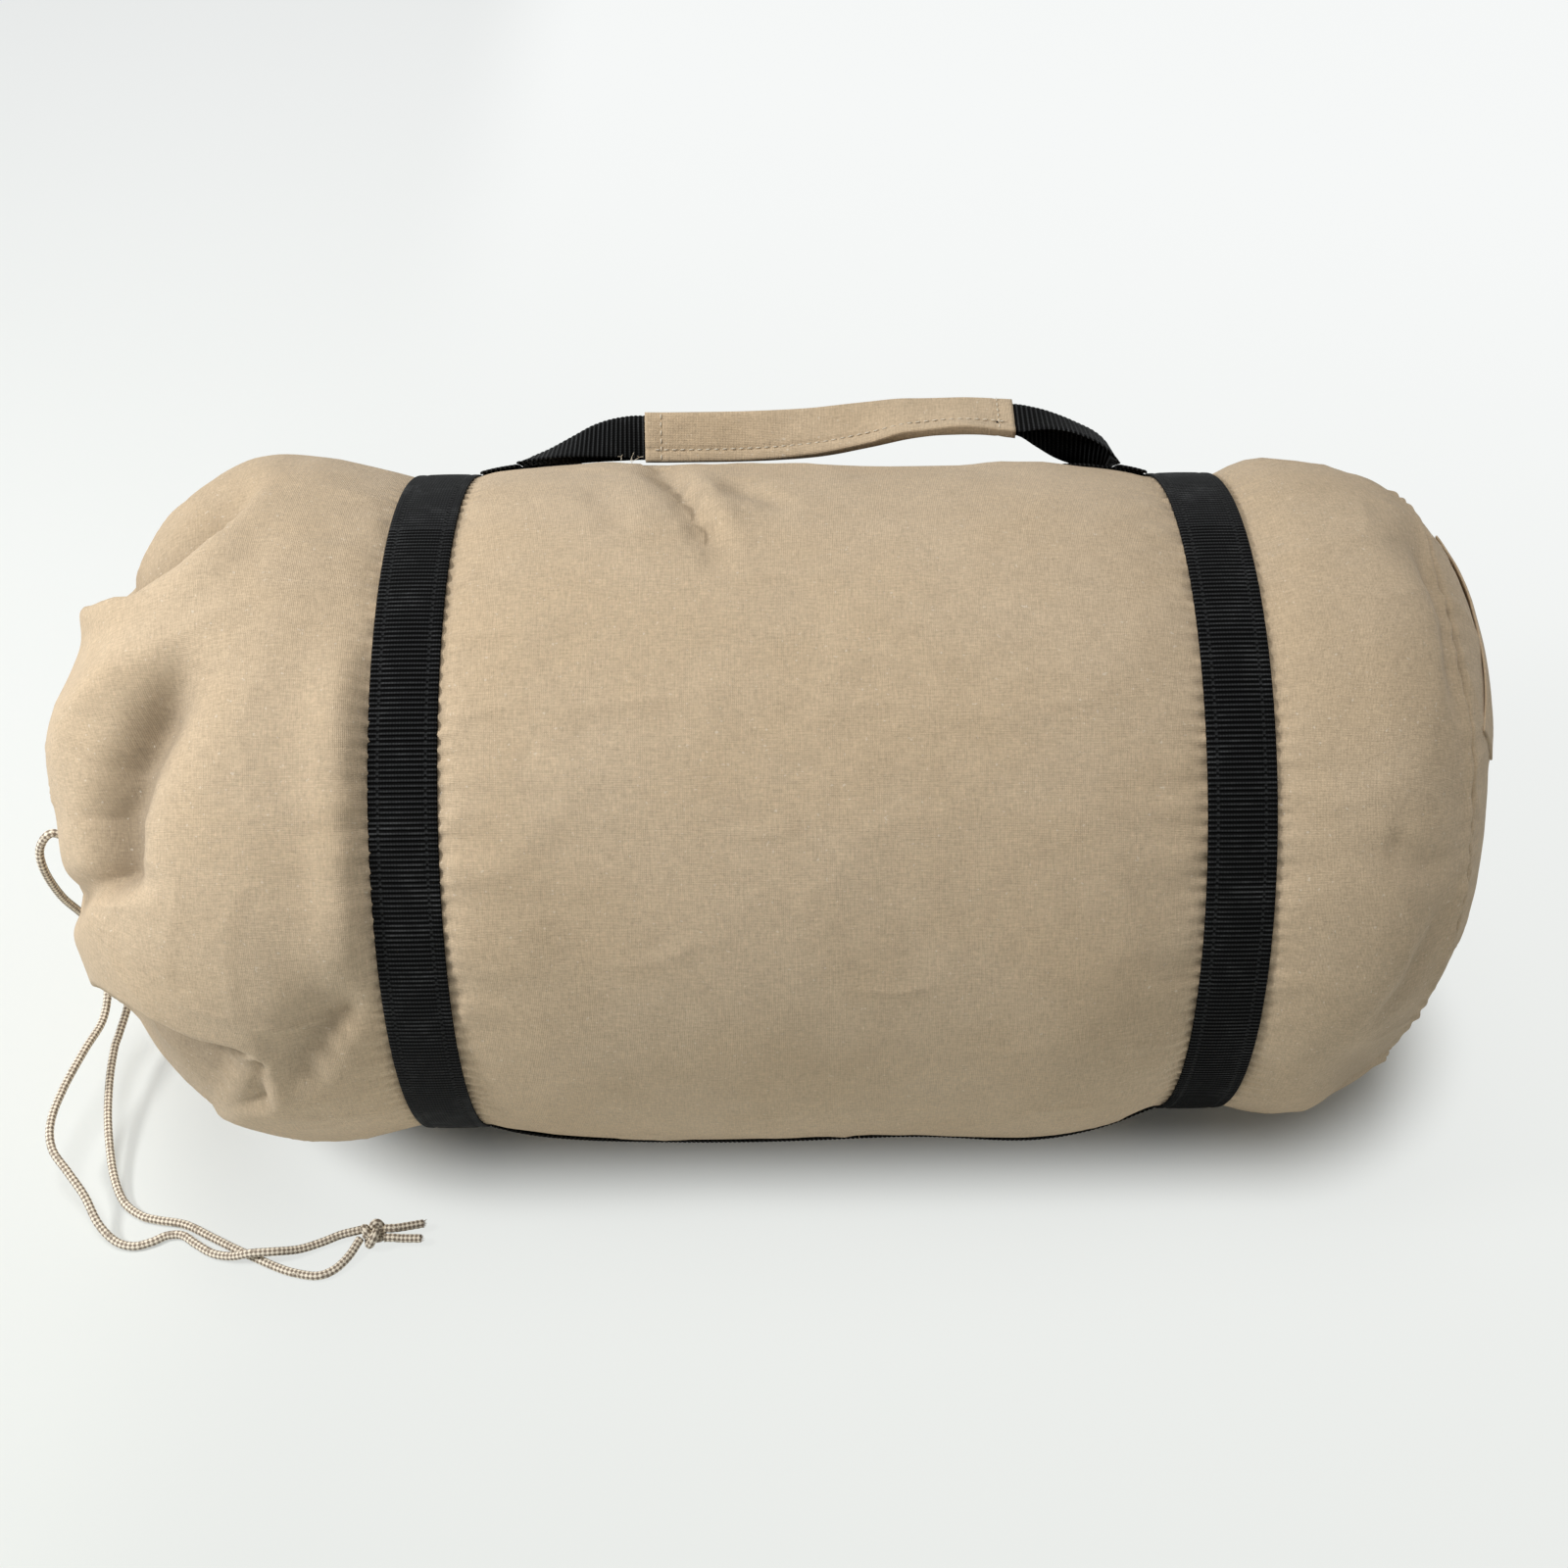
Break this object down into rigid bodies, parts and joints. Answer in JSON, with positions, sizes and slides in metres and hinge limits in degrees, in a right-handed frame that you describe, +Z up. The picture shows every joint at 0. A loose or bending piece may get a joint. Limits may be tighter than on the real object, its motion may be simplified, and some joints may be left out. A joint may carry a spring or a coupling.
{
  "type": "hexagonal tarp",
  "caption": "Hexagonal ridge tarp rolled up in its cloth drawstring carry bag, with webbing hoops, a sleeved carry handle and a knotted drawcord.",
  "frame": {"origin": "on the ground under the middle of the bag's length", "axes": "+X along the bag from the drawn mouth to the sewn closed end, -Y towards the side that the picture shows, +Z up"},
  "size_m": [0.5888, 0.2828, 0.2743],
  "materials": {
    "bag_cloth": "fine-woven sand-coloured poly-cotton, matt",
    "black_webbing": "black ribbed polypropylene webbing, slight sheen",
    "drawcord": "braided beige cord with darker flecks",
    "canopy_cloth": "sand-coloured poly-cotton, folded and rolled",
    "guy_rope": "braided polyester rope",
    "ring_steel": "plated welded steel rings",
    "peg_steel": "plain steel pegs",
    "runner_alloy": "dark anodised runners"
  },
  "bodies": {
    "bag": {"bag_end_panel": "bag_cloth", "bag_side_panel": "bag_cloth", "canopy_roll": "canopy_cloth", "corner_guy_rope_1": "guy_rope", "corner_guy_rope_2": "guy_rope", "corner_guy_rope_3": "guy_rope", "corner_guy_rope_4": "guy_rope", "corner_loop_1": "black_webbing", "corner_loop_2": "black_webbing", "corner_loop_3": "black_webbing", "corner_loop_4": "black_webbing", "corner_loop_5": "black_webbing", "corner_loop_6": "black_webbing", "corner_ring_1": "ring_steel", "corner_ring_2": "ring_steel", "corner_ring_3": "ring_steel", "corner_ring_4": "ring_steel", "corner_ring_5": "ring_steel", "corner_ring_6": "ring_steel", "corner_rope_runner_1": "runner_alloy", "corner_rope_runner_2": "runner_alloy", "corner_rope_runner_3": "runner_alloy", "corner_rope_runner_4": "runner_alloy", "drawcord_in_hem": "drawcord", "drawcord_knot": "drawcord", "drawcord_strand_a": "drawcord", "drawcord_strand_b": "drawcord", "drawcord_tail_a": "drawcord", "drawcord_tail_b": "drawcord", "end_grab_loop": "bag_cloth", "handle_end_left": "black_webbing", "handle_end_right": "black_webbing", "left_band": "black_webbing", "main_guy_rope_1": "guy_rope", "main_guy_rope_2": "guy_rope", "main_rope_runner_1": "runner_alloy", "main_rope_runner_2": "runner_alloy", "mouth_hem": "bag_cloth", "peg_pouch": "bag_cloth", "right_band": "black_webbing", "tent_peg_1": "peg_steel", "tent_peg_2": "peg_steel", "tent_peg_3": "peg_steel", "tent_peg_4": "peg_steel", "tent_peg_5": "peg_steel", "tent_peg_6": "peg_steel", "tent_peg_7": "peg_steel", "tent_peg_8": "peg_steel", "top_strap": "black_webbing", "underside_strap": "black_webbing"},
    "handle": {"handle_webbing": "black_webbing", "handle_sleeve": "bag_cloth"}
  },
  "joints": [
    {"name": "handle_swing", "type": "hinge", "parent": "bag", "child": "handle", "pos_m": [-0.1025, 0.08541, 0.25105], "axis": [0.9999, -0.0087, -0.012], "range_deg": [-80, 65], "stiffness_Nm_per_rad": 0.15, "deforming": ["handle_webbing"]}
  ]
}
